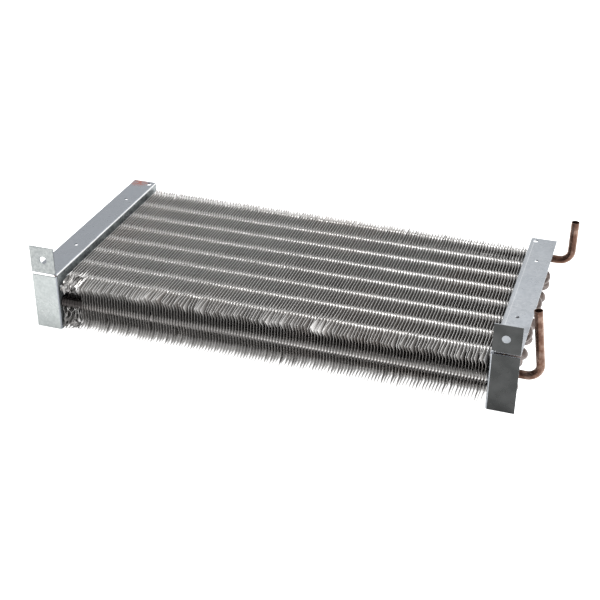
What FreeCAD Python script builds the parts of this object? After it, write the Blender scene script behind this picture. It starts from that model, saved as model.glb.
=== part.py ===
import FreeCAD, Part
import math
import os

# Finned condenser coil: copper tubes in three staggered rows pass through
# aluminium fins between two folded sheet steel end plates. Hairpin tubes are
# bent at the left end. Return bends join them at the right end, where the
# inlet and outlet stubs turn upwards.
#
# Frame, in millimetres: X runs along the tubes towards the stub end, Y from
# the front edge to the back, Z up through the rows. The origin is the middle
# of the whole coil's outline, on the plane of the end plates' lower edges.

# Finned core
CORE_LENGTH = 406.4        # between the inner faces of the end plates
FIN_PITCH = 2.86           # wanted spacing of the fins along the tubes
FIN_THICKNESS = 0.2
FIN_FRONT_SETBACK = 2.0    # plate's front edge to the fins' front edge
FIN_BACK_SETBACK = 2.1     # plate's back edge to the fins' back edge
FIN_TOP_SETBACK = 6.7      # top of the flange to the fins' upper edge
FIN_FLOOR_GAP = 0.5        # plate's lower edge to the fins' lower edge

# Tubes
COLUMN_PAIRS = 4           # each row holds two tubes for every pair
TUBE_PITCH = 27.3          # between tubes of one row
ROW_PITCH = 17.13          # between the three rows
TUBE_OUTSIDE = 7.94
TUBE_WALL = 0.5
FIN_TUBE_CLEARANCE = 0.05  # radial, tube to the fin's slot
PLATE_TUBE_CLEARANCE = 0.15  # radial, tube to the end plate's hole
HAIRPIN_STRAIGHT = 3.0     # left plate's outer face to the start of the bend

# Brazed joints at the right end
BELL_START = 1.0           # right plate's outer face to the flared tube end
BELL_TAPER = 1.5
BELL_LENGTH = 5.0
BRAZE_CLEARANCE = 0.05     # radial, inside the flared end
SOCKET_FLOOR_GAP = 0.3     # end of the inserted tube to the taper
RETURN_STRAIGHT = 8.6      # right plate's outer face to the return bend's arc

# Folded end plates
SHEET = 1.2
FOLD_RADIUS = 1.2          # inside radius of every fold
FLANGE_WIDTH = 25.4        # from the web's inner face outwards
TAB_HEIGHT = 26.8          # above the top flange
TAB_INSET = 0.8            # web's inner face to the tab's inner edge
RELIEF_GAP = 2.7           # top of the flange to the front flange's upper edge

# Holes in the flanges and tabs
TAB_HOLE_DIAMETER = 7.4
TAB_HOLE_OFFSET = 12.1     # from the web's inner face
TAB_HOLE_HEIGHT = 13.5     # above the top flange
SCREW_HOLE_DIAMETER = 3.9
SCREW_HOLE_OFFSET = 12.2   # from the web's inner face
SCREW_HOLE_FRONT = 62.8    # from the plate's front edge
SCREW_HOLE_SPACING = 111.4
CORNER_HOLE_DIAMETER = 5.1
CORNER_HOLE_OFFSET = 5.4   # from the web's inner face
CORNER_HOLE_BACK = 6.3     # from the plate's back edge

# Connection stubs
STUB_BEND_RADIUS = 11.5    # to the tube's centre line
INLET_REACH = 41.2         # web's inner face to the upright's centre line
INLET_RISE = 42.4          # tube's centre line to the open end
OUTLET_REACH = 40.2        # web's inner face to the corner of the centre line
OUTLET_RISE = 66.8
OUTLET_LEAN = 7.9          # degrees back over the coil

# Sizes that follow from the ones above
COLUMNS = 2 * COLUMN_PAIRS
FIN_DEPTH = COLUMNS * TUBE_PITCH
FIN_HEIGHT = 3 * ROW_PITCH
PLATE_DEPTH = FIN_FRONT_SETBACK + FIN_DEPTH + FIN_BACK_SETBACK
PLATE_HEIGHT = FIN_FLOOR_GAP + FIN_HEIGHT + FIN_TOP_SETBACK
FIN_GAPS = round(CORE_LENGTH / FIN_PITCH)
FOLD_OUTSIDE = FOLD_RADIUS + SHEET
CORE_MIDDLE = (FLANGE_WIDTH - INLET_REACH - TUBE_OUTSIDE / 2) / 2
WEB_INNER = CORE_LENGTH / 2
WEB_OUTER = WEB_INNER + SHEET
FRONT = -PLATE_DEPTH / 2
BACK = PLATE_DEPTH / 2
FIN_FRONT = FRONT + FIN_FRONT_SETBACK
FIN_TOP = FIN_FLOOR_GAP + FIN_HEIGHT
TUBE_RADIUS = TUBE_OUTSIDE / 2
BORE_RADIUS = TUBE_RADIUS - TUBE_WALL
BELL_BORE = TUBE_RADIUS + BRAZE_CLEARANCE
JOINT_START = WEB_OUTER + BELL_START
SOCKET_FLOOR = JOINT_START + BELL_TAPER + SOCKET_FLOOR_GAP

FACE_WITH_HOLES = "Part::FaceMakerBullseye"
X_AXIS = FreeCAD.Vector(1, 0, 0)
Y_AXIS = FreeCAD.Vector(0, 1, 0)
Z_AXIS = FreeCAD.Vector(0, 0, 1)

# The pieces are drawn about the middle of the finned core and moved together
# when they are written, as the inlet stub reaches out further than a flange.

# Share of a pitch from the fins' front edge to the first tube of each row
ROW_STAGGER = {"top": 0.75, "middle": 0.25, "bottom": 0.75}
ROW_LEVEL = {"top": 2.5, "middle": 1.5, "bottom": 0.5}


def tube_place(row, column):
    """Return the Y and Z of a tube's centre line."""
    y = FIN_FRONT + (ROW_STAGGER[row] + column) * TUBE_PITCH
    z = FIN_FLOOR_GAP + ROW_LEVEL[row] * ROW_PITCH
    return y, z


def all_tube_places():
    """Return the centre of every tube, row by row."""
    return [tube_place(row, column) for row in ROW_STAGGER for column in range(COLUMNS)]


def hairpin_pairs():
    """Return the pairs of tubes that one hairpin makes, from the front."""
    pairs = [((row, 0), (row, 1)) for row in ROW_STAGGER]
    for column in range(2, COLUMNS):
        pairs.append((("top", column), ("middle", column)))
    for column in range(2, COLUMNS, 2):
        pairs.append((("bottom", column), ("bottom", column + 1)))
    return pairs


def return_pairs():
    """Return the pairs of tubes that one return bend joins, from the front."""
    pairs = [(("top", 0), ("middle", 1)), (("middle", 0), ("bottom", 0))]
    for column in range(1, COLUMNS - 1, 2):
        pairs.append((("top", column), ("top", column + 1)))
    for column in range(2, COLUMNS):
        pairs.append((("middle", column), ("bottom", column)))
    return pairs


def face_from_edges(edges):
    """Make a flat face inside one closed run of edges."""
    return Part.Face(Part.Wire(edges))


def fold_profile(place, reach, rise):
    """Make the section of a sheet folded once by a right angle.

    The sheet's outer skin starts at (0, rise), follows the first axis and
    ends at (reach, 0) along the second. The place function turns a pair of
    such distances into a point.
    """
    bend = FOLD_OUTSIDE
    slant = math.sqrt(0.5)
    skin_mid = bend - FOLD_OUTSIDE * slant
    inner_mid = bend - FOLD_RADIUS * slant
    corners = [
        Part.makeLine(place(0, rise), place(0, bend)),
        Part.Arc(place(0, bend), place(skin_mid, skin_mid), place(bend, 0)).toShape(),
        Part.makeLine(place(bend, 0), place(reach, 0)),
        Part.makeLine(place(reach, 0), place(reach, SHEET)),
        Part.makeLine(place(reach, SHEET), place(bend, SHEET)),
        Part.Arc(place(bend, SHEET), place(inner_mid, inner_mid), place(SHEET, bend)).toShape(),
        Part.makeLine(place(SHEET, bend), place(SHEET, rise)),
        Part.makeLine(place(SHEET, rise), place(0, rise)),
    ]
    return face_from_edges(corners)


def web_and_top_flange():
    """Make the upright web with the flange folded outwards along its top."""
    start = FRONT + FOLD_OUTSIDE

    def place(out, down):
        return FreeCAD.Vector(WEB_INNER + out, start, PLATE_HEIGHT - down)

    section = fold_profile(place, FLANGE_WIDTH, PLATE_HEIGHT)
    return section.extrude(Y_AXIS * (BACK - start))


def front_flange():
    """Make the lower flange folded outwards from the web's front edge."""

    def place(out, back):
        return FreeCAD.Vector(WEB_INNER + out, FRONT + back, 0)

    section = fold_profile(place, FLANGE_WIDTH, FOLD_OUTSIDE + SHEET)
    return section.extrude(Z_AXIS * (PLATE_HEIGHT - RELIEF_GAP))


def mounting_tab():
    """Make the square tab folded up from the front end of the top flange.

    Above its fold the tab is wider than the flange's flat part, and its inner
    edge stands close to the web's plane.
    """
    fold_edge = WEB_INNER + FOLD_OUTSIDE
    underside = PLATE_HEIGHT - SHEET

    def place(back, up):
        return FreeCAD.Vector(fold_edge, FRONT + back, underside + up)

    section = fold_profile(place, FOLD_OUTSIDE + SHEET, FOLD_OUTSIDE + SHEET)
    fold = section.extrude(X_AXIS * (FLANGE_WIDTH - FOLD_OUTSIDE))
    sheet_bottom = underside + FOLD_OUTSIDE
    corner = FreeCAD.Vector(WEB_INNER + TAB_INSET, FRONT, sheet_bottom)
    sheet_height = PLATE_HEIGHT + TAB_HEIGHT - sheet_bottom
    upright = Part.makeBox(FLANGE_WIDTH - TAB_INSET, SHEET, sheet_height, corner)
    return fold.fuse(upright)


def flange_hole(diameter, offset, y):
    """Make the cutter for a round hole down through the top flange."""
    base = FreeCAD.Vector(WEB_INNER + offset, y, PLATE_HEIGHT - 2 * SHEET)
    return Part.makeCylinder(diameter / 2, 3 * SHEET, base, Z_AXIS)


def end_plate():
    """Make the right end plate as one folded and punched sheet."""
    plate = web_and_top_flange().fuse([front_flange(), mounting_tab()]).removeSplitter()
    hole_radius = TUBE_RADIUS + PLATE_TUBE_CLEARANCE
    cutters = []
    for y, z in all_tube_places():
        base = FreeCAD.Vector(WEB_INNER - SHEET, y, z)
        cutters.append(Part.makeCylinder(hole_radius, 3 * SHEET, base, X_AXIS))
    screw_y = FRONT + SCREW_HOLE_FRONT
    cutters.append(flange_hole(SCREW_HOLE_DIAMETER, SCREW_HOLE_OFFSET, screw_y))
    screw_y += SCREW_HOLE_SPACING
    cutters.append(flange_hole(SCREW_HOLE_DIAMETER, SCREW_HOLE_OFFSET, screw_y))
    corner_y = BACK - CORNER_HOLE_BACK
    cutters.append(flange_hole(CORNER_HOLE_DIAMETER, CORNER_HOLE_OFFSET, corner_y))
    tab_hole = FreeCAD.Vector(
        WEB_INNER + TAB_HOLE_OFFSET, FRONT - SHEET, PLATE_HEIGHT + TAB_HOLE_HEIGHT
    )
    cutters.append(Part.makeCylinder(TAB_HOLE_DIAMETER / 2, 3 * SHEET, tab_hole, Y_AXIS))
    return plate.cut(cutters)


def fin_face():
    """Make the outline of one fin, with a long slot for each row of tubes.

    The rows' straight slots stand for the tube holes: their edges touch the
    tubes above and below, and their ends close round the first and last.
    """
    x = -WEB_INNER
    half_slot = TUBE_RADIUS + FIN_TUBE_CLEARANCE
    outline = rectangle(x, FIN_FRONT, FIN_FRONT + FIN_DEPTH, FIN_FLOOR_GAP, FIN_TOP)
    slots = []
    for row in ROW_STAGGER:
        first_y, z = tube_place(row, 0)
        last_y = tube_place(row, COLUMNS - 1)[0]
        slot = rectangle(x, first_y - half_slot, last_y + half_slot, z - half_slot, z + half_slot)
        slots.append(slot)
    return Part.makeFace([outline] + slots, FACE_WITH_HOLES)


def rectangle(x, y_low, y_high, z_low, z_high):
    """Make a closed upright rectangle across the tubes."""
    corners = [
        FreeCAD.Vector(x, y_low, z_low),
        FreeCAD.Vector(x, y_high, z_low),
        FreeCAD.Vector(x, y_high, z_high),
        FreeCAD.Vector(x, y_low, z_high),
    ]
    return Part.makePolygon(corners + corners[:1])


def fins():
    """Make every fin as its own thin plate, evenly spaced between the webs."""
    plate = fin_face().extrude(X_AXIS * FIN_THICKNESS)
    spacing = CORE_LENGTH / FIN_GAPS
    copies = []
    for number in range(1, FIN_GAPS):
        copy = plate.copy()
        copy.translate(X_AXIS * (number * spacing - FIN_THICKNESS / 2))
        copies.append(copy)
    return Part.makeCompound(copies)


def ring_face(centre, normal, outer, inner):
    """Make the flat ring that is a tube's cross section."""
    rim = Part.Wire(Part.makeCircle(outer, centre, normal))
    bore = Part.Wire(Part.makeCircle(inner, centre, normal))
    return Part.makeFace([rim, bore], FACE_WITH_HOLES)


def tube_section(x, place):
    """Make the cross section of a tube that runs along X."""
    return ring_face(FreeCAD.Vector(x, *place), X_AXIS, TUBE_RADIUS, BORE_RADIUS)


def u_turn(x, first, second, outward):
    """Make the half turn from one tube to another, beyond the given X."""
    start = FreeCAD.Vector(x, *first)
    end = FreeCAD.Vector(x, *second)
    across = end - start
    axis = across.cross(X_AXIS) * outward
    section = tube_section(x, first)
    return section.revolve((start + end) * 0.5, axis, -180)


def straight_tube(x_low, x_high, place):
    """Make a straight tube along X."""
    return tube_section(x_low, place).extrude(X_AXIS * (x_high - x_low))


def bell(place):
    """Make the flared end that a return bend or a stub is brazed into."""
    y, z = place
    taper_end = JOINT_START + BELL_TAPER
    mouth = taper_end + BELL_LENGTH
    outline = [
        (JOINT_START, BORE_RADIUS),
        (taper_end, BELL_BORE),
        (mouth, BELL_BORE),
        (mouth, BELL_BORE + TUBE_WALL),
        (taper_end, BELL_BORE + TUBE_WALL),
        (JOINT_START, TUBE_RADIUS),
    ]
    points = [FreeCAD.Vector(x, y, z + radius) for x, radius in outline]
    section = Part.Face(Part.makePolygon(points + points[:1]))
    return section.revolve(FreeCAD.Vector(0, y, z), X_AXIS, 360)


def hairpin(first, second):
    """Make one long tube bent back on itself, with both ends flared."""
    bend_start = -WEB_OUTER - HAIRPIN_STRAIGHT
    pieces = [
        straight_tube(bend_start, JOINT_START, second),
        u_turn(bend_start, first, second, -1),
        bell(first),
        bell(second),
    ]
    return straight_tube(bend_start, JOINT_START, first).fuse(pieces).removeSplitter()


def return_bend(first, second):
    """Make the short U that plugs into two flared tube ends."""
    bend_start = WEB_OUTER + RETURN_STRAIGHT
    pieces = [
        straight_tube(SOCKET_FLOOR, bend_start, second),
        u_turn(bend_start, first, second, 1),
    ]
    return straight_tube(SOCKET_FLOOR, bend_start, first).fuse(pieces).removeSplitter()


def stub(place, corner_x, rise, lean):
    """Make an open tube that leaves along X and turns up, leaning back."""
    y, z = place
    turn = math.radians(90 + lean)
    tangent = STUB_BEND_RADIUS * math.tan(turn / 2)
    bend_x = corner_x - tangent
    pivot = FreeCAD.Vector(bend_x, y, z + STUB_BEND_RADIUS)
    level = straight_tube(SOCKET_FLOOR, bend_x, place)
    elbow = tube_section(bend_x, place).revolve(pivot, -Y_AXIS, 90 + lean)
    upwards = FreeCAD.Vector(math.cos(turn), 0, math.sin(turn))
    upright_start = FreeCAD.Vector(corner_x, y, z) + upwards * tangent
    upright_length = rise / upwards.z - tangent
    section = ring_face(upright_start, upwards, TUBE_RADIUS, BORE_RADIUS)
    upright = section.extrude(upwards * upright_length)
    return level.fuse([elbow, upright]).removeSplitter()


def write(node, shape):
    """Set one node on the coil's origin, write its STEP file, print its size."""
    os.makedirs("parts", exist_ok=True)
    shape.translate(X_AXIS * CORE_MIDDLE)
    shape.exportStep("parts/" + node + ".step")
    print(node, len(shape.Solids), "solids", round(shape.Volume, 1), "mm3", shape.isValid())


write("end_plate_right", end_plate())
write("end_plate_left", end_plate().mirror(FreeCAD.Vector(0, 0, 0), X_AXIS))
write("fins", fins())

for number, (first, second) in enumerate(hairpin_pairs(), 1):
    write("hairpin_%02d" % number, hairpin(tube_place(*first), tube_place(*second)))

for number, (first, second) in enumerate(return_pairs(), 1):
    write("return_bend_%02d" % number, return_bend(tube_place(*first), tube_place(*second)))

inlet_place = tube_place("top", COLUMNS - 1)
write("inlet_stub", stub(inlet_place, WEB_INNER + INLET_REACH, INLET_RISE, 0))
outlet_place = tube_place("bottom", 1)
write("outlet_stub", stub(outlet_place, WEB_INNER + OUTLET_REACH, OUTLET_RISE, OUTLET_LEAN))
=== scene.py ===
# %% [markdown]
# # A finned condenser coil
#
# The coil is a block of thin aluminium fins on three rows of copper tube,
# held between two folded sheets of galvanised steel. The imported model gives
# the exact sizes. This lesson dresses it: the fins get their collars and
# dents, the joints their filler metal, and every surface a procedural finish.

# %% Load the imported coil
import math

import bpy
import numpy as np
from mathutils import Matrix, Vector


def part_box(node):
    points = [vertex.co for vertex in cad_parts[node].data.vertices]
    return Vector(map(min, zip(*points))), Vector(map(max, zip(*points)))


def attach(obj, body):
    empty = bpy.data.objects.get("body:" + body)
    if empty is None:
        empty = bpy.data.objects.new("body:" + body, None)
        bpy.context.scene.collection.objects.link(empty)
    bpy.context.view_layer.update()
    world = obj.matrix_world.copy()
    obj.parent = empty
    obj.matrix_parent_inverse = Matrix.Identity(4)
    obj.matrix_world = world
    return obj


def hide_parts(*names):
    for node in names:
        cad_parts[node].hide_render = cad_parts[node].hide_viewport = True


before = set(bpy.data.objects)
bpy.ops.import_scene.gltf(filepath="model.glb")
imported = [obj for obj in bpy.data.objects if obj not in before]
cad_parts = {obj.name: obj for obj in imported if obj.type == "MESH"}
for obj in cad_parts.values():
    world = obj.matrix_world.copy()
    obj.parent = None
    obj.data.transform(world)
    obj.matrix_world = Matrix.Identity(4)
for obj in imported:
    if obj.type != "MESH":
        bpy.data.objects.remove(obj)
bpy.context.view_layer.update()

# %% [markdown]
# ## Sizes that the pieces share
#
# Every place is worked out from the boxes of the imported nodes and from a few
# pitches, in metres, so the dressed pieces need no fitting by eye.

# %% Read the main sizes
MM = 0.001
TUBE_PITCH = 27.3 * MM
ROW_PITCH = 17.13 * MM
TUBE_RADIUS = 3.97 * MM
COLUMNS = 8
FIN_COUNT = 141
FIN_THICKNESS = 0.2 * MM
WEB_TO_FLANGE_TOP = 58.59 * MM
# how far behind the fins' front edge each row starts, in tube pitches
ROW_STARTS = (0.75, 0.25, 0.75)

left_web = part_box("end_plate_left")[1].x
right_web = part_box("end_plate_right")[0].x
plate_low, plate_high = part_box("end_plate_right")
fins_low, fins_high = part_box("fins")
fin_spacing = (right_web - left_web) / (FIN_COUNT + 1)
fin_depth = fins_high.y - fins_low.y
fin_height = fins_high.z - fins_low.z
flange_top = plate_low.z + WEB_TO_FLANGE_TOP
row_heights = [fins_low.z + (n + 0.5) * ROW_PITCH for n in range(3)]
row_starts = [fins_low.y + share * TUBE_PITCH for share in ROW_STARTS]
print("Fin spacing", round(fin_spacing / MM, 3), "mm, fins", FIN_COUNT)

# %% [markdown]
# ## Camera
#
# The camera stands where the photograph was taken: a long lens, looking down
# by about thirty degrees, over the right front corner. Its place and its
# three directions were found by matching the corners of the two end plates.

# %% Place the camera
LENS = 70.065
CAMERA_PLACE = Vector((0.301472, -0.944209, 0.578691))
TO_RIGHT = Vector((0.948562, 0.316562, 0.004341))
DOWNWARD = Vector((0.160824, -0.469998, -0.867892))
FORWARD = Vector((-0.272702, 0.823948, -0.496733))

camera_data = bpy.data.cameras.new("studio_camera")
camera_data.sensor_width = 36
camera_data.lens = LENS
camera = bpy.data.objects.new("studio_camera", camera_data)
bpy.context.collection.objects.link(camera)
turn = Matrix((TO_RIGHT, -DOWNWARD, -FORWARD)).transposed()
camera.matrix_world = Matrix.Translation(CAMERA_PLACE) @ turn.to_4x4()
bpy.context.scene.camera = camera
print("Camera looks down by", round(math.degrees(math.asin(-FORWARD.z)), 1), "degrees")

# %% [markdown]
# ## Studio
#
# The light is plain and soft: a white room and a broad sun above. Where the
# floor is seen directly it glows a little, so it stays white even between the
# fins' lower tips, while the coil itself is lit as by any pale floor. The
# plain display transform keeps that white white.

# %% Light the room
ROOM_STRENGTH = 0.75
SUN_STRENGTH = 2.6
SUN_WIDTH = 0.6
SUN_PLACE = Vector((0.45, 0.3, 0.84))

bpy.context.scene.view_settings.view_transform = "Standard"
world = bpy.data.worlds.new("white_room")
world.use_nodes = True
background = world.node_tree.nodes["Background"]
background.inputs["Color"].default_value = (1, 1, 1, 1)
background.inputs["Strength"].default_value = ROOM_STRENGTH
bpy.context.scene.world = world

sun_data = bpy.data.lights.new("high_sun", "SUN")
sun_data.energy = SUN_STRENGTH
sun_data.angle = SUN_WIDTH
sun = bpy.data.objects.new("high_sun", sun_data)
bpy.context.collection.objects.link(sun)
sun.location = SUN_PLACE
sun.rotation_euler = (-SUN_PLACE).to_track_quat("-Z", "Y").to_euler()
print("Sun stands", round(math.degrees(math.asin(SUN_PLACE.normalized().z))), "degrees high")

# %% [markdown]
# The floor is one big pale square just under the coil. A Light Path node
# tells the rays that come from the camera from all others, so the glow that
# is seen can differ from the glow that lights the coil from below.

# %% Lay the floor
HALF_FLOOR = 6.0
FLOOR_GAP = 0.2 * MM
FLOOR_GREY = (0.86, 0.86, 0.86, 1)
GLOW_ON_COIL = 0.55
GLOW_SEEN = 1.0

floor_mesh = bpy.data.meshes.new("floor")
floor_corners = [(-HALF_FLOOR, -HALF_FLOOR, 0), (HALF_FLOOR, -HALF_FLOOR, 0),
                 (HALF_FLOOR, HALF_FLOOR, 0), (-HALF_FLOOR, HALF_FLOOR, 0)]
floor_mesh.from_pydata(floor_corners, [], [(0, 1, 2, 3)])
floor = bpy.data.objects.new("floor", floor_mesh)
floor.location.z = plate_low.z - FLOOR_GAP
bpy.context.collection.objects.link(floor)
floor_paint = bpy.data.materials.new("pale_floor")
floor_paint.use_nodes = True
floor_nodes = floor_paint.node_tree
floor_shader = floor_nodes.nodes["Principled BSDF"]
floor_shader.inputs["Base Color"].default_value = FLOOR_GREY
floor_shader.inputs["Roughness"].default_value = 0.8
floor_shader.inputs["Emission Strength"].default_value = 1.0
seen_directly = floor_nodes.nodes.new("ShaderNodeLightPath").outputs["Is Camera Ray"]
glow = floor_nodes.nodes.new("ShaderNodeMapRange")
glow.inputs["To Min"].default_value = GLOW_ON_COIL
glow.inputs["To Max"].default_value = GLOW_SEEN
floor_nodes.links.new(seen_directly, glow.inputs["Value"])
floor_nodes.links.new(glow.outputs["Result"], floor_shader.inputs["Emission Color"])
floor_mesh.materials.append(floor_paint)
print("Floor at", round(floor.location.z / MM, 2), "mm")

# %% [markdown]
# ## Small helpers for node trees
#
# A node tree is a list of nodes and the wires between them. These helpers
# keep each finish readable: one adds a node with its settings, another makes
# a sum, a ramp or a noise and hands back the socket to wire on.

# %% Node helpers


def add_node(tree, kind, settings=None, **values):
    """Add a node, set its properties, then its inputs by name."""
    node = tree.nodes.new(kind)
    for name, value in (settings or {}).items():
        setattr(node, name, value)
    for name, value in values.items():
        node.inputs[name.replace("_", " ")].default_value = value
    return node


def wire(tree, source, target):
    """Join two sockets, or set the target to a plain number or colour."""
    if isinstance(source, (int, float)):
        target.default_value = source
    elif isinstance(source, tuple):
        target.default_value = (*source, 1)
    else:
        tree.links.new(source, target)


def math_node(tree, operation, first, second=None):
    """Add a maths node whose inputs are sockets or plain numbers."""
    node = add_node(tree, "ShaderNodeMath", {"operation": operation})
    wire(tree, first, node.inputs[0])
    if second is not None:
        wire(tree, second, node.inputs[1])
    return node.outputs[0]


def ramp_node(tree, source, stops):
    """Add a colour ramp with the given (position, colour) stops."""
    node = tree.nodes.new("ShaderNodeValToRGB")
    ramp = node.color_ramp
    while len(ramp.elements) < len(stops):
        ramp.elements.new(0.5)
    for element, (position, colour) in zip(ramp.elements, stops):
        element.position = position
        element.color = (*colour, 1)
    wire(tree, source, node.inputs["Fac"])
    return node.outputs["Color"]


def mix_colour(tree, factor, first, second):
    """Mix two colours by a factor. Each may be a socket or a plain value."""
    node = add_node(tree, "ShaderNodeMix", {"data_type": "RGBA"})
    # inputs 0, 6 and 7 are the factor and the two colours
    for index, value in ((0, factor), (6, first), (7, second)):
        wire(tree, value, node.inputs[index])
    return node.outputs[2]


# %% [markdown]
# The next ones start from the place on the piece and make the noise and the
# bump that most finishes here are built from. Object coordinates need no UV
# map and fit every piece alike.

# %% Helpers for place, noise and bump


def object_place(tree):
    """Give the point on the piece, in metres, as a socket."""
    return tree.nodes.new("ShaderNodeTexCoord").outputs["Object"]


def parts_of(tree, place):
    """Give the three coordinates of a place as sockets, also by name."""
    split = tree.nodes.new("ShaderNodeSeparateXYZ")
    wire(tree, place, split.inputs[0])
    return split.outputs


def noise(tree, place, scale, detail=3.0, roughness=0.5):
    """Give a cloudy value from 0 to 1."""
    node = add_node(tree, "ShaderNodeTexNoise", Scale=scale, Detail=detail, Roughness=roughness)
    wire(tree, place, node.inputs["Vector"])
    return node.outputs["Fac"]


def stretched(tree, place, scale):
    """Give the point with its axes stretched by three factors."""
    node = tree.nodes.new("ShaderNodeMapping")
    node.inputs["Scale"].default_value = scale
    wire(tree, place, node.inputs["Vector"])
    return node.outputs["Vector"]


def clamped(tree, value):
    """Keep a value between 0 and 1."""
    node = tree.nodes.new("ShaderNodeClamp")
    wire(tree, value, node.inputs["Value"])
    return node.outputs[0]


def start_material(name, metallic, roughness):
    """Make an empty material and return it with its tree and shader."""
    material = bpy.data.materials.new(name)
    material.use_nodes = True
    shader = material.node_tree.nodes["Principled BSDF"]
    shader.inputs["Metallic"].default_value = metallic
    shader.inputs["Roughness"].default_value = roughness
    return material, material.node_tree, shader


def add_bump(tree, shader, height, strength, distance):
    """Feed a height into the shader's normal through a bump."""
    bump = add_node(tree, "ShaderNodeBump", Strength=strength, Distance=distance)
    wire(tree, height, bump.inputs["Height"])
    wire(tree, bump.outputs["Normal"], shader.inputs["Normal"])


# %% [markdown]
# ## Shared effects as node groups
#
# Dust and fine scratches turn up on steel, aluminium and copper alike. Each
# is a group that is built once, with its own inputs, and placed in each
# finish. A group gives out only a mask, and the shader stays in the material.

# %% Build the shared groups


def new_group(name, inputs, outputs):
    """Make a shader group with float inputs and outputs, and its ends."""
    group = bpy.data.node_groups.new(name, "ShaderNodeTree")
    for label, value in inputs:
        socket = group.interface.new_socket(label, in_out="INPUT", socket_type="NodeSocketFloat")
        socket.default_value = value
    for label in outputs:
        group.interface.new_socket(label, in_out="OUTPUT", socket_type="NodeSocketFloat")
    start = group.nodes.new("NodeGroupInput")
    end = group.nodes.new("NodeGroupOutput")
    return group, start, end


def build_grime():
    """Cloudy dust that gathers in patches: Scale and Amount give a mask."""
    group, start, end = new_group("grime_patches", [("Scale", 40.0), ("Amount", 0.5)], ["Mask"])
    place = object_place(group)
    broad = add_node(group, "ShaderNodeTexNoise", Detail=6.0, Roughness=0.62)
    wire(group, place, broad.inputs["Vector"])
    wire(group, start.outputs["Scale"], broad.inputs["Scale"])
    lifted = math_node(group, "SUBTRACT", broad.outputs["Fac"], 0.38)
    sharp = math_node(group, "MULTIPLY", lifted, 3.2)
    result = math_node(group, "MULTIPLY", clamped(group, sharp), start.outputs["Amount"])
    wire(group, result, end.inputs["Mask"])
    return group


def build_scratches():
    """Thin drawn lines, from noise that is finer across them than along them."""
    axes = ("Across X", "Across Y", "Across Z")
    group, start, end = new_group("drawn_lines", [(label, 900.0) for label in axes], ["Lines"])
    place = object_place(group)
    combine = group.nodes.new("ShaderNodeCombineXYZ")
    for index, label in enumerate(axes):
        wire(group, start.outputs[label], combine.inputs[index])
    scaled = group.nodes.new("ShaderNodeVectorMath")
    scaled.operation = "MULTIPLY"
    wire(group, place, scaled.inputs[0])
    wire(group, combine.outputs[0], scaled.inputs[1])
    lines = add_node(group, "ShaderNodeTexNoise", Scale=1.0, Detail=2.0)
    wire(group, scaled.outputs[0], lines.inputs["Vector"])
    wire(group, lines.outputs["Fac"], end.inputs["Lines"])
    return group


grime_group = build_grime()
lines_group = build_scratches()


def place_group(tree, group, **values):
    """Place a shared group in a material with its own values."""
    node = tree.nodes.new("ShaderNodeGroup")
    node.node_tree = group
    for name, value in values.items():
        node.inputs[name.replace("_", " ")].default_value = value
    return node.outputs[0]


print("Shared groups:", grime_group.name, lines_group.name)

# %% [markdown]
# ## Galvanised steel
#
# Hot zinc freezes into flat crystals of slightly different greys. A Voronoi
# texture gives one tone to each crystal, and soft clouds lie over it. The
# faces that look to the front carry a painted reflection: darker at the stub
# end and lighter at the other. The folds carry painted highlights, and a
# smear of red paint is left on the far back corner.

# %% Choose the tones of the zinc
ZINC_CRYSTALS = [(0.0, (0.43, 0.455, 0.485)), (1.0, (0.62, 0.64, 0.67))]
ZINC_CLOUDS = (0.42, 0.46, 0.51)
FAR_ZINC = (0.24, 0.26, 0.29)
BACK_ZINC = (0.34, 0.37, 0.40)
# painted reflection: dark fronts at the stub end, pale fronts at the far end
DARK_FRONT_REFLECTION = [(0.35, (0.036, 0.038, 0.038)), (0.7, (0.068, 0.070, 0.070))]
PALE_FLANGE_REFLECTION = [(0.35, (0.40, 0.43, 0.42)), (0.65, (0.50, 0.53, 0.52))]
PALE_TAB_REFLECTION = [(0.35, (0.27, 0.29, 0.285)), (0.65, (0.40, 0.42, 0.41))]
MOTTLED_WEB = [(0.35, (0.09, 0.10, 0.10)), (0.65, (0.27, 0.30, 0.30))]
# painted highlights on the crease of the near flange and on the far fold
CREASE_HIGHLIGHT = (0.88, 0.89, 0.91)
FOLD_HIGHLIGHT = (0.97, 0.98, 0.98)
RED_PAINT = (0.42, 0.10, 0.05)
print("Zinc crystals go from", ZINC_CRYSTALS[0][1], "to", ZINC_CRYSTALS[1][1])

# %% [markdown]
# A mask is a value from 0 to 1 that says where a second colour shows. Masks
# could be painted, but here each comes from the place on the piece, so it
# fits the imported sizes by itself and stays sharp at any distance.

# %% Write the mask helpers


def away_from(tree, value, centre):
    """Give how far a value lies from a centre."""
    return math_node(tree, "ABSOLUTE", math_node(tree, "SUBTRACT", value, centre))


def band(tree, value, low, high):
    """Rise from 0 to 1 as a value goes from low to high."""
    node = tree.nodes.new("ShaderNodeMapRange")
    node.inputs["From Min"].default_value = low
    node.inputs["From Max"].default_value = high
    wire(tree, value, node.inputs["Value"])
    return node.outputs["Result"]


def both(tree, first, second):
    """Multiply two masks, or weaken a mask by a plain share."""
    return math_node(tree, "MULTIPLY", first, second)


def is_less(tree, value, limit):
    """Give 1 where a value is under a limit."""
    return math_node(tree, "LESS_THAN", value, limit)


def is_more(tree, value, limit):
    """Give 1 where a value is over a limit."""
    return math_node(tree, "GREATER_THAN", value, limit)


# %% [markdown]
# Each function below lays one effect over the colour that it is given and
# returns the result, so the finish reads as a list of layers.

# %% Write the layers of the zinc


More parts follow.
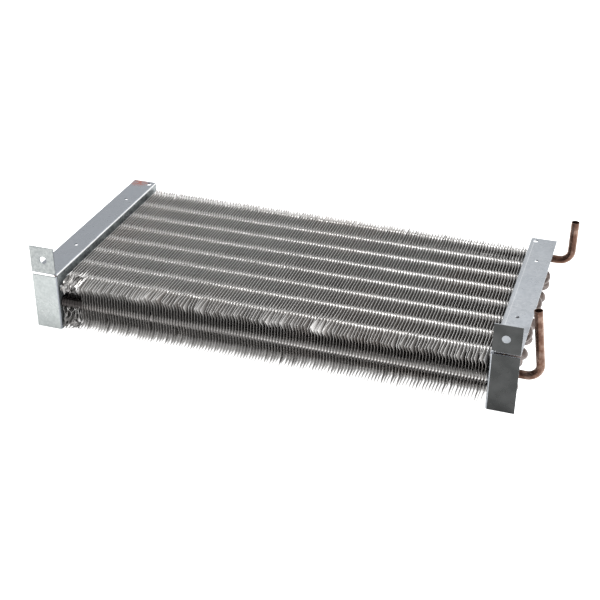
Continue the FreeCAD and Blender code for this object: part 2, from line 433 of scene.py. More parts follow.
def zinc_crystals(tree, place, across, along):
    """Crystals under clouds, darker on the far plate and at the near one's back."""
    crystals = add_node(tree, "ShaderNodeTexVoronoi", Scale=430.0)
    wire(tree, place, crystals.inputs["Vector"])
    tone = ramp_node(tree, crystals.outputs["Color"], ZINC_CRYSTALS)
    clouds = noise(tree, place, 22.0, 4.0)
    base = mix_colour(tree, both(tree, clouds, clouds), tone, ZINC_CLOUDS)
    base = mix_colour(tree, both(tree, is_less(tree, across, 0.0), 0.78), base, FAR_ZINC)
    to_back = band(tree, along, plate_low.y + 60 * MM, plate_high.y)
    to_back = both(tree, is_more(tree, across, 0.0), to_back)
    return mix_colour(tree, both(tree, to_back, 0.6), base, BACK_ZINC)


def fronts_with_painted_reflection(tree, base, place, across, along, up):
    """Painted reflection: dark fronts at the stub end, pale ones at the far end."""
    at_front = is_less(tree, along, plate_low.y + 0.35 * MM)
    on_tab = is_more(tree, up, flange_top)
    past_fold = is_more(tree, across, right_web + 1.5 * MM)
    # painted dark reflection on the fronts at the stub end, pale one at the far end
    dark_front = both(tree, at_front, is_more(tree, across, 0.0))
    dark_front = both(tree, dark_front, math_node(tree, "MAXIMUM", past_fold, on_tab))
    dark_front_mottle = ramp_node(tree, noise(tree, place, 60.0, 5.0), DARK_FRONT_REFLECTION)
    base = mix_colour(tree, dark_front, base, dark_front_mottle)
    grain = noise(tree, place, 420.0, 3.0)
    on_flange = ramp_node(tree, grain, PALE_FLANGE_REFLECTION)
    pale_tone = mix_colour(tree, on_tab, on_flange, ramp_node(tree, grain, PALE_TAB_REFLECTION))
    pale = both(tree, at_front, is_less(tree, across, 0.0))
    return mix_colour(tree, both(tree, pale, 0.85), base, pale_tone)


def web_and_folds(tree, base, place, across, up):
    """Mottled inner side of the far plate, and painted highlight lines on the folds."""
    inner = both(tree, is_more(tree, across, left_web - 0.2 * MM), is_less(tree, across, 0.0))
    mottle = ramp_node(tree, noise(tree, place, 260.0, 4.0), MOTTLED_WEB)
    base = mix_colour(tree, both(tree, inner, 0.75), base, mottle)
    # a painted highlight line along the crease and along the far fold
    crease = band(tree, away_from(tree, across, right_web + 4.2 * MM), 0.5 * MM, 0.1 * MM)
    crease = both(tree, crease, is_less(tree, up, flange_top + 1 * MM))
    crease = both(tree, crease, is_more(tree, up, flange_top - 1 * MM))
    base = mix_colour(tree, both(tree, crease, 0.45), base, CREASE_HIGHLIGHT)
    fold = band(tree, away_from(tree, across, left_web - 0.5 * MM), 0.45 * MM, 0.2 * MM)
    at_top = is_less(tree, away_from(tree, up, flange_top - 0.5 * MM), 1.5 * MM)
    return mix_colour(tree, both(tree, fold, at_top), base, FOLD_HIGHLIGHT)


def red_smear(tree, base, place):
    """A smear of red paint, wiped along the far back corner."""
    spot = add_node(tree, "ShaderNodeVectorMath", {"operation": "DISTANCE"})
    wire(tree, place, spot.inputs[0])
    spot.inputs[1].default_value = (left_web - 17 * MM, plate_high.y - 5 * MM, flange_top)
    near = math_node(tree, "SUBTRACT", 1.0, math_node(tree, "DIVIDE", spot.outputs["Value"], 12 * MM))
    streaks = noise(tree, stretched(tree, place, (160, 900, 1)), 1.0, 4.0)
    wiped = both(tree, near, band(tree, streaks, 0.42, 0.6))
    return mix_colour(tree, clamped(tree, both(tree, wiped, 1.8)), base, RED_PAINT)


# %% [markdown]
# The steel itself is the stack of these layers, with dust in the roughness
# and fine rolling lines in the bump.

# %% Mix the galvanised steel


def galvanised_steel():
    """Zinc on steel: crystals, clouds, painted reflections and highlights, and one red smear."""
    material, tree, shader = start_material("galvanised_steel", 0.65, 0.3)
    place = object_place(tree)
    across, along, up = parts_of(tree, place)
    base = zinc_crystals(tree, place, across, along)
    base = fronts_with_painted_reflection(tree, base, place, across, along, up)
    base = web_and_folds(tree, base, place, across, up)
    base = red_smear(tree, base, place)
    wire(tree, base, shader.inputs["Base Color"])
    grime = place_group(tree, grime_group, Scale=60.0, Amount=0.18)
    wire(tree, math_node(tree, "ADD", 0.24, grime), shader.inputs["Roughness"])
    lines = place_group(tree, lines_group, Across_X=700.0, Across_Y=25.0, Across_Z=700.0)
    add_bump(tree, shader, lines, 0.05, 0.0002)
    return material


steel = galvanised_steel()
for name in ("end_plate_left", "end_plate_right"):
    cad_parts[name].data.materials.clear()
    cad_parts[name].data.materials.append(steel)
print("Steel has", len(steel.node_tree.nodes), "nodes")

# %% [markdown]
# ## Copper
#
# Old copper is brown, with pinker rubbed places and dark heat marks beside
# each brazed joint. The colour comes from clouds. The pale streaks along each
# tube and its darker middle are a painted sheen, from Layer Weight below.

# %% Choose the tones of the copper
# dark, middle, pale and soot; the dark and pale tones also give the painted sheen
STUB_TONES = [(0.075, 0.036, 0.026), (0.18, 0.098, 0.068), (0.52, 0.38, 0.31), (0.06, 0.036, 0.028)]
BEND_TONES = [(0.045, 0.034, 0.030), (0.095, 0.074, 0.066), (0.24, 0.19, 0.175), (0.06, 0.05, 0.046)]
HEAT_MARK = (0.12, 0.10, 0.10)
FILLER_TONES = [(0.35, (0.20, 0.15, 0.11)), (0.65, (0.52, 0.42, 0.30))]
JOINT_MIDDLE = right_web + 8 * MM
HEAT_REACH = 7 * MM
print("Joints' heat marks lie at", round(JOINT_MIDDLE / MM, 1), "mm")

# %% [markdown]
# Layer Weight tells how far a face is turned from the eye. Here it stands for
# the tubes' sheen: in the photo they are darker along their middle and paler
# towards their outline. It follows the view, and an exported model loses it.

# %% Mix the copper


def aged_copper(name, dark, middle, pale_and_highlight, soot):
    """Brown copper with pale patches, a painted sheen and darkened joints."""
    material, tree, shader = start_material(name, 0.9, 0.3)
    place = object_place(tree)
    clouds = noise(tree, place, 110.0, 5.0, 0.6)
    base = ramp_node(tree, clouds, [(0.25, dark), (0.5, middle), (0.75, pale_and_highlight)])
    grime = place_group(tree, grime_group, Scale=150.0, Amount=0.5)
    base = mix_colour(tree, grime, base, soot)
    # painted sheen: darker along each tube's middle, paler towards its outline
    facing = add_node(tree, "ShaderNodeLayerWeight", Blend=0.5).outputs["Facing"]
    base = mix_colour(tree, both(tree, band(tree, facing, 0.4, 0.02), 0.55), base, dark)
    base = mix_colour(tree, both(tree, band(tree, facing, 0.3, 0.7), 0.5), base, pale_and_highlight)
    off_joint = away_from(tree, parts_of(tree, place)["X"], JOINT_MIDDLE)
    cooled = math_node(tree, "DIVIDE", off_joint, HEAT_REACH)
    heat = clamped(tree, math_node(tree, "SUBTRACT", 1.0, cooled))
    base = mix_colour(tree, both(tree, heat, 0.6), base, HEAT_MARK)
    wire(tree, base, shader.inputs["Base Color"])
    rough = math_node(tree, "ADD", 0.24, both(tree, grime, 0.5))
    wire(tree, rough, shader.inputs["Roughness"])
    add_bump(tree, shader, noise(tree, place, 500.0, 3.0), 0.12, 0.0003)
    return material


def filler_metal():
    """Brazing filler: paler and yellower than the copper, with dark flux."""
    material, tree, shader = start_material("filler_metal", 0.95, 0.32)
    place = object_place(tree)
    base = ramp_node(tree, noise(tree, place, 420.0, 4.0), FILLER_TONES)
    wire(tree, base, shader.inputs["Base Color"])
    grime = place_group(tree, grime_group, Scale=200.0, Amount=0.4)
    wire(tree, math_node(tree, "ADD", 0.28, grime), shader.inputs["Roughness"])
    add_bump(tree, shader, noise(tree, place, 700.0, 3.0), 0.2, 0.0003)
    return material


stub_copper = aged_copper("stub_copper", *STUB_TONES)
bend_copper = aged_copper("bend_copper", *BEND_TONES)
tubes = [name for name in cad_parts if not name.startswith(("end_plate", "fins"))]
for name in tubes:
    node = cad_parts[name]
    node.data.materials.clear()
    node.data.materials.append(stub_copper if name.endswith("stub") else bend_copper)
print("Copper on", len(tubes), "tubes")

# %% [markdown]
# ## Aluminium
#
# The fins are bare aluminium that has gone grey-brown with dust. Their edges,
# lower tips and knocked fins get a painted highlight, and an attribute
# written on the mesh further down says where. Over the upper tubes the sheet
# has a painted highlight too, and in the front face a band lies in the
# shadow of the edge above it.

# %% Choose the tones of the aluminium
DUSTY_SHEET = [(0.3, (0.25, 0.24, 0.23)), (0.7, (0.37, 0.36, 0.35))]
WARM_DUST = (0.31, 0.25, 0.22)
THICK_DUST = (0.22, 0.20, 0.185)
# painted highlight over the upper tubes
TUBE_HIGHLIGHT = (0.95, 0.94, 0.93)
SHADOWED = (0.10, 0.095, 0.09)
HIGHLIGHT_METAL = (0.93, 0.92, 0.91)
COLLAR_METAL = [(0.3, (0.84, 0.83, 0.82)), (0.7, (0.95, 0.95, 0.94))]
COLLAR_GRIME = (0.50, 0.47, 0.45)
COLLAR_DARKER = (0.22, 0.20, 0.19)
COLLAR_SHADE = (0.05, 0.045, 0.045)
HOLE_SHADE = (0.035, 0.03, 0.03)
print("Dusty sheet goes from", DUSTY_SHEET[0][1], "to", DUSTY_SHEET[1][1])

# %% [markdown]
# The painted highlight over the tubes needs the distance to the nearest tube.
# Counted in tube pitches, it is what is left after rounding to a whole number.

# %% Mix the dusty sheet


def highlight_over_tubes(tree, across, along, up):
    """Mask a painted highlight on the sheet right over the upper tubes, most at the far end."""
    steps = math_node(tree, "DIVIDE", math_node(tree, "SUBTRACT", along, row_starts[2]), TUBE_PITCH)
    off_tube = away_from(tree, steps, math_node(tree, "ROUND", steps))
    near = band(tree, off_tube, 2.9 * MM / TUBE_PITCH, 1.3 * MM / TUBE_PITCH)
    near = both(tree, near, is_more(tree, up, row_heights[2]))
    return both(tree, near, band(tree, across, right_web + 60 * MM, left_web + 40 * MM))


def dusty_aluminium():
    """Fin sheet: dull with dust, with painted highlights at its edges and over the tubes, and a painted
    shadow band in front.
    """
    material, tree, shader = start_material("dusty_aluminium", 0.6, 0.4)
    place = object_place(tree)
    across, along, up = parts_of(tree, place)
    base = ramp_node(tree, noise(tree, place, 26.0, 4.0), DUSTY_SHEET)
    warm = band(tree, noise(tree, place, 13.0, 3.0), 0.5, 0.75)
    base = mix_colour(tree, both(tree, warm, 0.6), base, WARM_DUST)
    grime = place_group(tree, grime_group, Scale=38.0, Amount=0.35)
    base = mix_colour(tree, grime, base, THICK_DUST)
    # painted highlight on the sheet over the upper tubes
    base = mix_colour(tree, highlight_over_tubes(tree, across, along, up), base, TUBE_HIGHLIGHT)
    in_band = band(tree, away_from(tree, up, row_heights[1] + 8 * MM), 8 * MM, 4 * MM)
    near_front = band(tree, along, fins_low.y + 14 * MM, fins_low.y + 6 * MM)
    shadowed = both(tree, in_band, near_front)
    base = mix_colour(tree, both(tree, shadowed, 0.55), base, SHADOWED)
    # painted highlight on the fins' edges, lower tips, knocked fins and crushed corner
    painted_highlight = add_node(tree, "ShaderNodeAttribute", {"attribute_name": "painted_highlight"}).outputs["Fac"]
    base = mix_colour(tree, painted_highlight, base, HIGHLIGHT_METAL)
    wire(tree, base, shader.inputs["Base Color"])
    rough = math_node(tree, "ADD", 0.32, both(tree, grime, 0.4))
    wire(tree, rough, shader.inputs["Roughness"])
    ripple = place_group(tree, lines_group, Across_X=60.0, Across_Y=420.0, Across_Z=30.0)
    add_bump(tree, shader, ripple, 0.2, 0.0005)
    return material


fin_sheet = dusty_aluminium()
print("Fin sheet has", len(fin_sheet.node_tree.nodes), "nodes")

# %% [markdown]
# The collars inside are cleaner than the fins. In the two lower rows they
# are darker towards the far end, and the front ones get painted shade below.

# %% Mix the collar metal


def shade_on_front(tree, across, up, facing_front):
    """Mask the painted shade strip on the front collars, and say how dark it is."""
    toward_stub_end = band(tree, across, left_web + 90 * MM, left_web + 230 * MM)
    strip = math_node(tree, "ADD", row_heights[1] + 0.3 * MM, both(tree, toward_stub_end, -2.2 * MM))
    shade = band(tree, away_from(tree, up, strip), 2.1 * MM, 1.3 * MM)
    depth_of_shade = math_node(tree, "ADD", 0.45, both(tree, toward_stub_end, 0.4))
    return both(tree, both(tree, shade, facing_front), depth_of_shade)


def bright_aluminium():
    """Collars: clean in the upper row, darker in the rows below, with painted shade in front and in the
    corner hole.
    """
    material, tree, shader = start_material("collar_aluminium", 1.0, 0.28)
    place = object_place(tree)
    across, along, up = parts_of(tree, place)
    base = ramp_node(tree, noise(tree, place, 240.0, 3.0), COLLAR_METAL)
    grime = place_group(tree, grime_group, Scale=45.0, Amount=0.22)
    base = mix_colour(tree, grime, base, COLLAR_GRIME)
    lower_rows = is_less(tree, up, row_heights[2] - 8 * MM)
    to_stubs = band(tree, across, left_web, right_web)
    darkening = math_node(tree, "SUBTRACT", 0.88, both(tree, to_stubs, 0.75))
    # darker in the two lower rows, most towards the far end
    base = mix_colour(tree, both(tree, lower_rows, darkening), base, COLLAR_DARKER)
    facing_front = is_less(tree, along, row_starts[1])
    # painted shade strip on the front collars
    base = mix_colour(tree, shade_on_front(tree, across, up, facing_front), base, COLLAR_SHADE)
    # painted shade on the collars inside the hole of the crushed corner
    by_corner = band(tree, across, left_web + 27 * MM, left_web + 21 * MM)
    shade_in_hole = both(tree, both(tree, by_corner, lower_rows), facing_front)
    base = mix_colour(tree, both(tree, shade_in_hole, 0.85), base, HOLE_SHADE)
    wire(tree, base, shader.inputs["Base Color"])
    rough = math_node(tree, "ADD", 0.26, both(tree, grime, 0.4))
    wire(tree, rough, shader.inputs["Roughness"])
    add_bump(tree, shader, noise(tree, place, 900.0, 2.0), 0.08, 0.0002)
    return material


collar_metal = bright_aluminium()
print("Collar metal has", len(collar_metal.node_tree.nodes), "nodes")

# %% [markdown]
# ## Fins
#
# A hundred and more equal sheets in a row are a job for Geometry Nodes: one
# thin sheet, rippled along its height as real fins are pressed to stir the
# air, is placed on a line of points. Its own points lie closer together near
# its front and its edges, where it will be bent. Each copy takes a small lean
# and a slow wave runs through the pack, as pressed fins are never parallel.

# %% Write the helpers for geometry trees


def open_tree(name, inputs):
    """Start a geometry tree with named inputs: a label, a kind and a value."""
    tree = bpy.data.node_groups.new(name, "GeometryNodeTree")
    for label, kind, value in [("Geometry", "Geometry", None), *inputs]:
        socket = tree.interface.new_socket(label, in_out="INPUT", socket_type="NodeSocket" + kind)
        if value is not None:
            socket.default_value = value
    tree.interface.new_socket("Geometry", in_out="OUTPUT", socket_type="NodeSocketGeometry")
    return tree, tree.nodes.new("NodeGroupInput").outputs


def vector_of(tree, x=0.0, y=0.0, z=0.0):
    """Combine three numbers or sockets to a vector."""
    node = tree.nodes.new("ShaderNodeCombineXYZ")
    for index, value in enumerate((x, y, z)):
        wire(tree, value, node.inputs[index])
    return node.outputs[0]


def point_place(tree):
    """Give the place of each point as a socket."""
    return tree.nodes.new("GeometryNodeInputPosition").outputs[0]


def close_tree(tree, geometry, material):
    """Paint the last geometry and hand it out."""
    paint = tree.nodes.new("GeometryNodeSetMaterial")
    wire(tree, geometry, paint.inputs["Geometry"])
    wire(tree, material, paint.inputs["Material"])
    end = tree.nodes.new("NodeGroupOutput")
    wire(tree, paint.outputs["Geometry"], end.inputs["Geometry"])


# %% [markdown]
# The tree has three parts, and the first makes one sheet. It could be a plain
# box, but a box has no points between its corners and couldn't be bent.

# %% Ripple one sheet
POINTS_DEEP = 13
POINTS_HIGH = 21
CROWD_TO_FRONT = 1.9


def rippled_sheet(tree, given):
    """One thin sheet whose points crowd near its front and its long edges."""
    sheet = tree.nodes.new("GeometryNodeMeshCube")
    wire(tree, vector_of(tree, given["Thickness"], 1.0, 1.0), sheet.inputs["Size"])
    for label, count in (("Vertices X", 2), ("Vertices Y", POINTS_DEEP), ("Vertices Z", POINTS_HIGH)):
        sheet.inputs[label].default_value = count
    parts = parts_of(tree, point_place(tree))
    from_front = math_node(tree, "ADD", parts["Y"], 0.5)
    back_share = math_node(tree, "POWER", from_front, CROWD_TO_FRONT)
    swing = math_node(tree, "SINE", math_node(tree, "MULTIPLY", parts["Z"], math.pi))
    up_share = math_node(tree, "ADD", math_node(tree, "MULTIPLY", swing, 0.5), 0.5)
    y = math_node(tree, "MULTIPLY", back_share, given["Depth"])
    z = math_node(tree, "MULTIPLY", up_share, given["Height"])
    ripples = math_node(tree, "MULTIPLY", up_share, given["Ripples"])
    turns = math_node(tree, "MULTIPLY", ripples, 2 * math.pi)
    bulge = math_node(tree, "MULTIPLY", math_node(tree, "SINE", turns), given["Ripple"])
    x = math_node(tree, "ADD", parts["X"], bulge)
    spread = tree.nodes.new("GeometryNodeSetPosition")
    wire(tree, sheet.outputs["Mesh"], spread.inputs["Geometry"])
    wire(tree, vector_of(tree, x, y, z), spread.inputs["Position"])
    return spread.outputs["Geometry"]


print("A sheet has", POINTS_DEEP, "points from front to back and", POINTS_HIGH, "up")

# %% [markdown]
# The second part sets copies of the sheet in a row. Each copy carries a random
# number as an attribute, which outlives the change to one plain mesh.

# %% Set the sheets in a row
LEAN_SEED = 7


def row_of_sheets(tree, given, sheet):
    """Copies of the sheet on a line, each with a random lean written on it."""
    line = tree.nodes.new("GeometryNodeMeshLine")
    line.mode = "OFFSET"
    wire(tree, given["Count"], line.inputs["Count"])
    wire(tree, given["First Fin"], line.inputs["Start Location"])
    wire(tree, vector_of(tree, given["Spacing"]), line.inputs["Offset"])
    copies = tree.nodes.new("GeometryNodeInstanceOnPoints")
    wire(tree, line.outputs["Mesh"], copies.inputs["Points"])
    wire(tree, sheet, copies.inputs["Instance"])
    random = add_node(tree, "FunctionNodeRandomValue", {"data_type": "FLOAT"}, Seed=LEAN_SEED)
    lowest, highest = [s for s in random.inputs if s.type == "VALUE"][:2]
    lowest.default_value = -1.0
    highest.default_value = 1.0
    chance = [s for s in random.outputs if s.type == "VALUE"][0]
    keep = add_node(tree, "GeometryNodeStoreNamedAttribute",
                    {"data_type": "FLOAT", "domain": "INSTANCE"}, Name="own_lean")
    wire(tree, copies.outputs["Instances"], keep.inputs["Geometry"])
    wire(tree, chance, keep.inputs["Value"])
    solid = tree.nodes.new("GeometryNodeRealizeInstances")
    wire(tree, keep.outputs["Geometry"], solid.inputs["Geometry"])
    return solid.outputs["Geometry"]


# %% [markdown]
# The third part leans the upper and lower edges. The push grows with a high
# power of the height, so the middle of each fin stays straight.

# %% Lean the edges of the sheets
ONLY_AT_EDGES = 5.0
WAVE_SCALE = 45.0
WAVE_SIZE = 4.0
OWN_SHARE = 0.6


def leaning_edges(tree, given, row):
    """Push the upper and lower edges sideways, by own leans and a slow wave."""
    lean = add_node(tree, "GeometryNodeInputNamedAttribute", {"data_type": "FLOAT"}, Name="own_lean")
    own = [s for s in lean.outputs if s.type == "VALUE"][0]
    place = point_place(tree)
    parts = parts_of(tree, place)
    off_middle = math_node(tree, "SUBTRACT", parts["Z"], (fins_low.z + fins_high.z) / 2)
    share = math_node(tree, "DIVIDE", math_node(tree, "ABSOLUTE", off_middle), fin_height / 2)
    edge = math_node(tree, "POWER", share, ONLY_AT_EDGES)
    wave = add_node(tree, "ShaderNodeTexNoise", Scale=WAVE_SCALE, Detail=2.0)
    wire(tree, place, wave.inputs["Vector"])
    swell = math_node(tree, "MULTIPLY", math_node(tree, "SUBTRACT", wave.outputs[0], 0.5), WAVE_SIZE)
    sway = math_node(tree, "ADD", math_node(tree, "MULTIPLY", own, OWN_SHARE), swell)
    push = math_node(tree, "MULTIPLY", math_node(tree, "MULTIPLY", sway, edge), given["Lean"])
    shift = tree.nodes.new("GeometryNodeSetPosition")
    wire(tree, row, shift.inputs["Geometry"])
    wire(tree, vector_of(tree, push), shift.inputs["Offset"])
    return shift.outputs["Geometry"]


# %% [markdown]
# The inputs have names, so the same tree can make a coil of another size. A
# fixed seed gives the same fins each time that the script runs.

# %% Build the fin pack tree


def fin_pack_tree():
    """Rippled thin sheets in a row, with leaning upper and lower edges."""
    tree, given = open_tree("fin_pack", [
        ("Count", "Int", FIN_COUNT), ("Spacing", "Float", fin_spacing),
        ("Thickness", "Float", FIN_THICKNESS), ("Depth", "Float", fin_depth),
        ("Height", "Float", fin_height), ("Lean", "Float", 0.35 * MM),
        ("Ripple", "Float", 0.2 * MM), ("Ripples", "Float", 4.0),
        ("First Fin", "Vector", None), ("Sheet", "Material", None)])
    row = row_of_sheets(tree, given, rippled_sheet(tree, given))
    close_tree(tree, leaning_edges(tree, given, row), given["Sheet"])
    return tree


fin_tree = fin_pack_tree()
print("Fin pack tree has", len(fin_tree.nodes), "nodes")

# %% [markdown]
# A modifier runs the tree on an empty mesh. Its result is kept as a plain
# mesh and the modifier goes, so the fins can be bent afterwards.

# %% Grow the fins


def grow(name, tree, values):
    """Run a geometry tree and keep its result as a plain mesh object."""
    piece = bpy.data.objects.new(name, bpy.data.meshes.new(name + "_start"))
    bpy.context.collection.objects.link(piece)
    modifier = piece.modifiers.new("grow", "NODES")
    modifier.node_group = tree
    sockets = {item.name: item.identifier for item in tree.interface.items_tree if item.in_out == "INPUT"}
    for label, value in values.items():
        modifier[sockets[label]] = value
    graph = bpy.context.evaluated_depsgraph_get()
    graph.update()
    plain = bpy.data.meshes.new_from_object(piece.evaluated_get(graph))
    piece.modifiers.clear()
    piece.data = plain
    plain.name = name
    print(name, "has", len(plain.polygons), "faces")
    return piece


first_fin = Vector((left_web + fin_spacing, fins_low.y, fins_low.z))
fins = grow("fin_pack", fin_tree, {"First Fin": first_fin, "Sheet": fin_sheet})

# %% [markdown]
# ### Bent edges
#
# Soft fins bend wherever hands and boxes touch them. Geometry Nodes could
# bend them too, but single dents are easier to place on the plain mesh: each
# is a push on its points that fades with distance. For that, every point has
# to know its fin and how far it is from the front and from the two edges.

# %% Read the points of the fins
rng = np.random.default_rng(11)
points = np.empty(len(fins.data.vertices) * 3)
fins.data.vertices.foreach_get("co", points)
points = points.reshape(-1, 3)
number = np.clip(np.round((points[:, 0] - left_web) / fin_spacing), 1, FIN_COUNT).astype(int)
along = number * fin_spacing / MM
behind = (points[:, 1] - fins_low.y) / MM
below = (fins_high.z - points[:, 2]) / MM
above = (points[:, 2] - fins_low.z) / MM
print("Points to bend:", len(points))

# %% [markdown]
# A dent has no sharp border, so the shares that fade it are eased. Some
# values drift slowly from fin to fin, as where an edge was pressed along its
# length, and others are each fin's own. From here on, lengths are in mm.

# %% Write the helpers for dents


def smooth(share):
    """Ease a share from 0 to 1."""
    share = np.clip(share, 0, 1)
    return share * share * (3 - 2 * share)


def fade(distance, reach):
    """Fall from 1 to 0 over a reach."""
    return np.clip(1 - distance / reach, 0, 1)


def near_to(value, centre, reach):
    """Rise smoothly to 1 where a value comes to a centre."""
    return smooth(1 - np.abs(value - centre) / reach)


def wander(knots, low, high):
    """Give each fin a value that drifts slowly along the coil."""
    steps = rng.uniform(low, high, knots)
    line = np.interp(np.arange(FIN_COUNT + 1), np.linspace(0, FIN_COUNT, knots), steps)
    return line[number]


def jitter(spread):
    """Give each fin a random value of its own, round 0."""
    return rng.normal(0, spread, FIN_COUNT + 1)[number]


def scatter(low, high):
    """Give each fin a random value of its own between two limits."""
    return rng.uniform(low, high, FIN_COUNT + 1)[number]


# %% [markdown]
# On this coil the whole upper front edge leans over towards the far end, so
# it shows as a paler band. It is also rolled down a little. Some fins in it
# are knocked further and get a painted highlight.

# %% Lean and roll the upper front edge
FOLD_BACK = 19.0
ROLL_DOWN = 14
# place along the coil, width and strength of each knock
KNOCKS = [(136, 9, 1.0), (219, 7, 1.2), (256, 11, 2.2), (327, 3, 1.6), (375, 14, 0.7), (401, 5, 1.2)]

fold_down = wander(15, 6.0, 9.0)
flap = np.clip(1 - behind / FOLD_BACK - below / fold_down, 0, 1)
lean = wander(24, 1.2, 2.4) + jitter(0.6)
# painted highlight on the knocked fins
pale_and_highlight = 0 * lean
for place, width, extra in KNOCKS:
    near = smooth(1.3 - np.abs(along - place) / width)
    lean += extra * near * jitter(1.0)
    pale_and_highlight = np.maximum(pale_and_highlight, near * flap * extra * scatter(0.2, 1.6))
points[:, 0] -= lean * flap * MM
roll = wander(19, 2.5, 5.5) + jitter(0.9)
points[:, 2] -= roll * fade(behind, FOLD_BACK) ** 1.5 * fade(below, ROLL_DOWN) * MM
print("Upper front tips lean by", round(float(lean.min()), 1), "to", round(float(lean.max()), 1), "mm")

# %% [markdown]
# The lower tips lean the same way, and more so towards the far end. White
# floor shows through the gaps between them. Each tip is also pushed up by an
# amount of its own, so that the lower outline is ragged.

# %% Lean and ruffle the lower tips
TIP_REACH = 15
CORE_LENGTH = 406

to_far = fade(along, CORE_LENGTH)
low_flap = fade(above, TIP_REACH) * smooth(1.3 - behind / 38)
low_bend = low_flap ** (1 + 0.6 * to_far)
points[:, 0] -= low_bend * (wander(40, 3.5, 4.5) * (0.65 + 0.8 * to_far) + jitter(0.35)) * MM
tip_up = np.abs(jitter(0.7))
points[:, 2] += tip_up * smooth(1.2 - behind / 20) * fade(above, TIP_REACH) * MM
print("Lower front tips are pushed up by as much as", round(float(tip_up.max()), 1), "mm")

# %% [markdown]
# The back edge sways a little and has three ruffled patches. In the front
# face some neighbours part and leave a dark seam between them.

# %% Ruffle the back edge and open the seams
# place along the coil and width of each patch
PATCHES = [(142, 9), (230, 6), (266, 8)]
# place along the coil, depth below the top and reach of each seam
SEAMS = [(46.5, 33, 9), (93.5, 26, 16), (119.5, 33, 8)]

back_edge = smooth((behind - 196) / 22)
points[:, 0] += back_edge * (wander(30, -0.8, 0.8) + jitter(0.45)) * MM
for place, width in PATCHES:
    patch = near_to(along, place, width) * near_to(behind, 203, 16) * smooth(fade(below, 9))
    points[:, 0] += patch * jitter(1.6) * MM
for place, depth, reach in SEAMS:
    side = np.sign(along - place) * near_to(along, place, 9)
    points[:, 0] += side * smooth(fade(behind, 26)) * near_to(below, depth, reach) * 1.1 * MM
print("Ruffled", len(PATCHES), "patches and opened", len(SEAMS), "seams in the front face")

# %% [markdown]
# The corner by the far plate is crushed: its fins are crumpled together, and
# a hole is pushed into them. A fin has two skins, and points at the same
# place on both have to move together, or the skins would cross. np.unique
# finds such points and gives them one push.

# %% Crush the corner by the far plate
crushed = smooth((24 - along) / 5) * smooth(1.15 - behind / 22)
rounded = np.round(np.column_stack([number, behind, below]), 1)
spots, spot = np.unique(rounded, axis=0, return_inverse=True)
crumple = rng.normal(0, 1, spots.shape)[spot.ravel()]
hole = near_to(below, 19, 9) * crushed
crumpled = crushed * (1 - hole)
points[:, 0] += crumpled * crumple[:, 0] * 1.5 * MM
points[:, 1] += crumpled * np.abs(crumple[:, 1]) * 1.6 * MM
points[:, 1] += hole * 13 * MM
points[:, 2] -= crushed * np.abs(crumple[:, 2]) * smooth(fade(below, 14)) * 2.6 * MM
print("Crumpled", int((crushed > 0.5).sum()), "points")

# %% [markdown]
# The finish can't see where the fins were bent, so this is written on the
# mesh: an attribute is 1 where the sheet gets a painted highlight, on its
# upper and lower edges, its lower tips, the knocked fins and the crushed
# corner, and 0 where dust lies on it.

# %% Mark the painted highlights
# painted highlight on the upper and lower edges, the lower tips, the knocked fins and the crushed corner
painted_highlight = np.maximum(1 - below / 1.4, 0.10 * (1 - behind / 1.9))
painted_highlight = np.maximum(painted_highlight, 0.6 * (1 - above / 1.9))
painted_highlight = np.maximum(painted_highlight, 0.95 * low_flap)
streaks = scatter(0, 1) ** 2.5
pale_and_highlight = np.maximum(pale_and_highlight, 0.9 * streaks * np.clip(1 - behind / 15 - below / 12, 0, 1))
crumple_bright = 0.15 + 0.2 * smooth((below - 26) / 4) + 0.35 * crumple[:, 0]
clump = crumpled * np.clip(crumple_bright, 0, 1)
painted_highlight = np.maximum(painted_highlight * (1 - crushed), np.maximum(pale_and_highlight, clump))
painted_highlight = np.clip(painted_highlight, 0, 1).astype(np.float32)
print("Bright share of the points:", round(float((painted_highlight > 0.5).mean()), 3))

# %% [markdown]
# Last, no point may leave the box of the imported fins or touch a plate. Then
# the points and the attribute go back into the mesh.

# %% Keep every fin between the plates and write the points back
room = 0.12 * MM
points[:, 0] = np.clip(points[:, 0], left_web + room, right_web - room)
for axis in (1, 2):
    points[:, axis] = np.clip(points[:, axis], fins_low[axis], fins_high[axis])
fins.data.vertices.foreach_set("co", points.ravel())
shine = fins.data.attributes.new("painted_highlight", "FLOAT", "POINT")
shine.data.foreach_set("value", painted_highlight)
fins.data.update()
fins.data.shade_smooth()
fins.data.set_sharp_from_angle(angle=math.radians(40))
print("Fins stay within", round((right_web - left_web) / MM, 1), "mm")

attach(fins, "root")
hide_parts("fins")

# %% [markdown]
# ## Collars and filler rings
#
# Each hole in a fin is drawn out to a short collar that grips the tube and
# keeps the next fin at its distance. From above the collars show as a row of
# bright beads. One flared ring is placed at every crossing of fin and tube.
# The same tree, with one ring to a tube, lays the filler metal that creeps
# round the mouth of each brazed joint.

# %% Draw one collar
RING_SIDES = 12


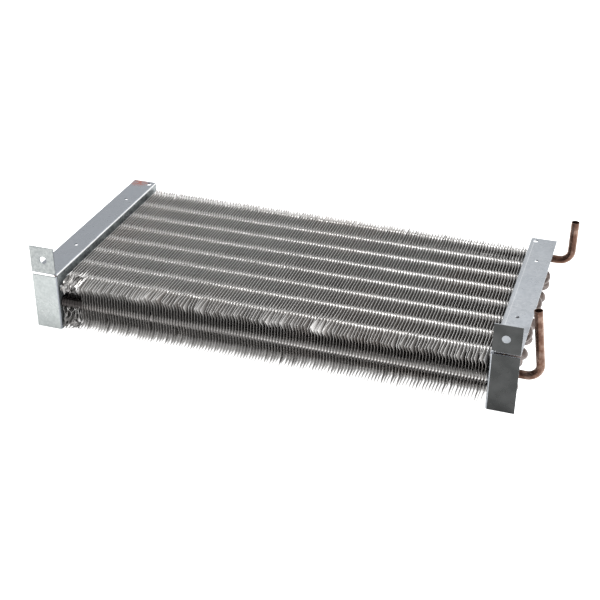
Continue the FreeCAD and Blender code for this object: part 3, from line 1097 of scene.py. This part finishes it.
def flared_ring(tree, given):
    """One collar: a short cone along X, pulled in halfway like drawn metal."""
    foot = math_node(tree, "ADD", given["Radius"], given["Flare"])
    ring = add_node(tree, "GeometryNodeMeshCone", Vertices=RING_SIDES, Side_Segments=2)
    wire(tree, given["Radius"], ring.inputs["Radius Top"])
    wire(tree, foot, ring.inputs["Radius Bottom"])
    wire(tree, given["Spacing"], ring.inputs["Depth"])
    parts = parts_of(tree, point_place(tree))
    half = math_node(tree, "DIVIDE", given["Spacing"], 2.0)
    off = math_node(tree, "ABSOLUTE", math_node(tree, "SUBTRACT", parts["Z"], half))
    is_middle = math_node(tree, "LESS_THAN", off, math_node(tree, "DIVIDE", half, 4.0))
    half_flare = math_node(tree, "DIVIDE", given["Flare"], 2.0)
    middle_radius = math_node(tree, "ADD", given["Radius"], half_flare)
    shrink = math_node(tree, "DIVIDE", given["Radius"], middle_radius)
    change = math_node(tree, "MULTIPLY", is_middle, math_node(tree, "SUBTRACT", shrink, 1.0))
    keep = math_node(tree, "ADD", 1.0, change)
    narrowed = vector_of(tree, math_node(tree, "MULTIPLY", parts["X"], keep),
                         math_node(tree, "MULTIPLY", parts["Y"], keep), parts["Z"])
    waist = tree.nodes.new("GeometryNodeSetPosition")
    wire(tree, ring.outputs["Mesh"], waist.inputs["Geometry"])
    wire(tree, narrowed, waist.inputs["Position"])
    turned = add_node(tree, "GeometryNodeTransform", Rotation=(0.0, math.pi / 2, 0.0))
    wire(tree, waist.outputs["Geometry"], turned.inputs["Geometry"])
    return turned.outputs["Geometry"]


print("A collar has", RING_SIDES, "sides")

# %% [markdown]
# A grid of places takes two lines of points: one along the tube, and one
# across the coil on which the whole first line is placed again.

# %% Set the collars on a grid


def grid_of_rings(tree, given, ring):
    """Rings in a line along each tube, and the tubes side by side along Y."""
    along_tube = tree.nodes.new("GeometryNodeMeshLine")
    wire(tree, given["Fins"], along_tube.inputs["Count"])
    wire(tree, given["First Collar"], along_tube.inputs["Start Location"])
    wire(tree, vector_of(tree, given["Spacing"]), along_tube.inputs["Offset"])
    side_by_side = tree.nodes.new("GeometryNodeMeshLine")
    wire(tree, given["Tubes"], side_by_side.inputs["Count"])
    wire(tree, vector_of(tree, 0.0, given["Tube Pitch"]), side_by_side.inputs["Offset"])
    one_tube = tree.nodes.new("GeometryNodeInstanceOnPoints")
    wire(tree, along_tube.outputs["Mesh"], one_tube.inputs["Points"])
    wire(tree, ring, one_tube.inputs["Instance"])
    all_tubes = tree.nodes.new("GeometryNodeInstanceOnPoints")
    wire(tree, side_by_side.outputs["Mesh"], all_tubes.inputs["Points"])
    wire(tree, one_tube.outputs["Instances"], all_tubes.inputs["Instance"])
    solid = tree.nodes.new("GeometryNodeRealizeInstances")
    wire(tree, all_tubes.outputs["Instances"], solid.inputs["Geometry"])
    return solid.outputs["Geometry"]


# %% [markdown]
# The tree puts the two together. It is run once for each row of tubes, since
# the rows are staggered and start at different places.

# %% Grow the collars


def collar_tree():
    """Flared rings on a grid of points: fins along X, tubes along Y."""
    tree, given = open_tree("collar_rows", [
        ("Fins", "Int", FIN_COUNT + 1), ("Tubes", "Int", COLUMNS),
        ("Spacing", "Float", fin_spacing), ("Tube Pitch", "Float", TUBE_PITCH),
        ("Radius", "Float", TUBE_RADIUS + 0.25 * MM), ("Flare", "Float", 1.8 * MM),
        ("First Collar", "Vector", None), ("Metal", "Material", None)])
    close_tree(tree, grid_of_rings(tree, given, flared_ring(tree, given)), given["Metal"])
    return tree


rings = collar_tree()
tube_rows = list(zip(("lower", "middle", "upper"), row_heights, row_starts))
for label, height, start_y in tube_rows:
    first = Vector((left_web, start_y, height))
    piece = grow("collars_" + label, rings, {"First Collar": first, "Metal": collar_metal})
    piece.data.shade_smooth()
    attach(piece, "root")

# %% [markdown]
# Brazing leaves a small ring of filler metal round the mouth of each flared
# tube end. The mouth lies outside the stub end's plate: past the sheet, a
# gap, the taper and the wide part of the flared end.

# %% Lay the filler rings at the joints
# sheet, gap, taper and wide part, in mm
TO_MOUTH = (1.2, 1.0, 1.5, 5.0)
mouth = right_web + sum(TO_MOUTH) * MM
filler = filler_metal()
for label, height, start_y in tube_rows:
    piece = grow("filler_" + label, rings, {
        "First Collar": Vector((mouth, start_y, height)), "Fins": 1, "Spacing": 1.1 * MM,
        "Radius": TUBE_RADIUS + 0.02 * MM, "Flare": 0.5 * MM, "Metal": filler})
    piece.data.shade_smooth()
    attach(piece, "root")
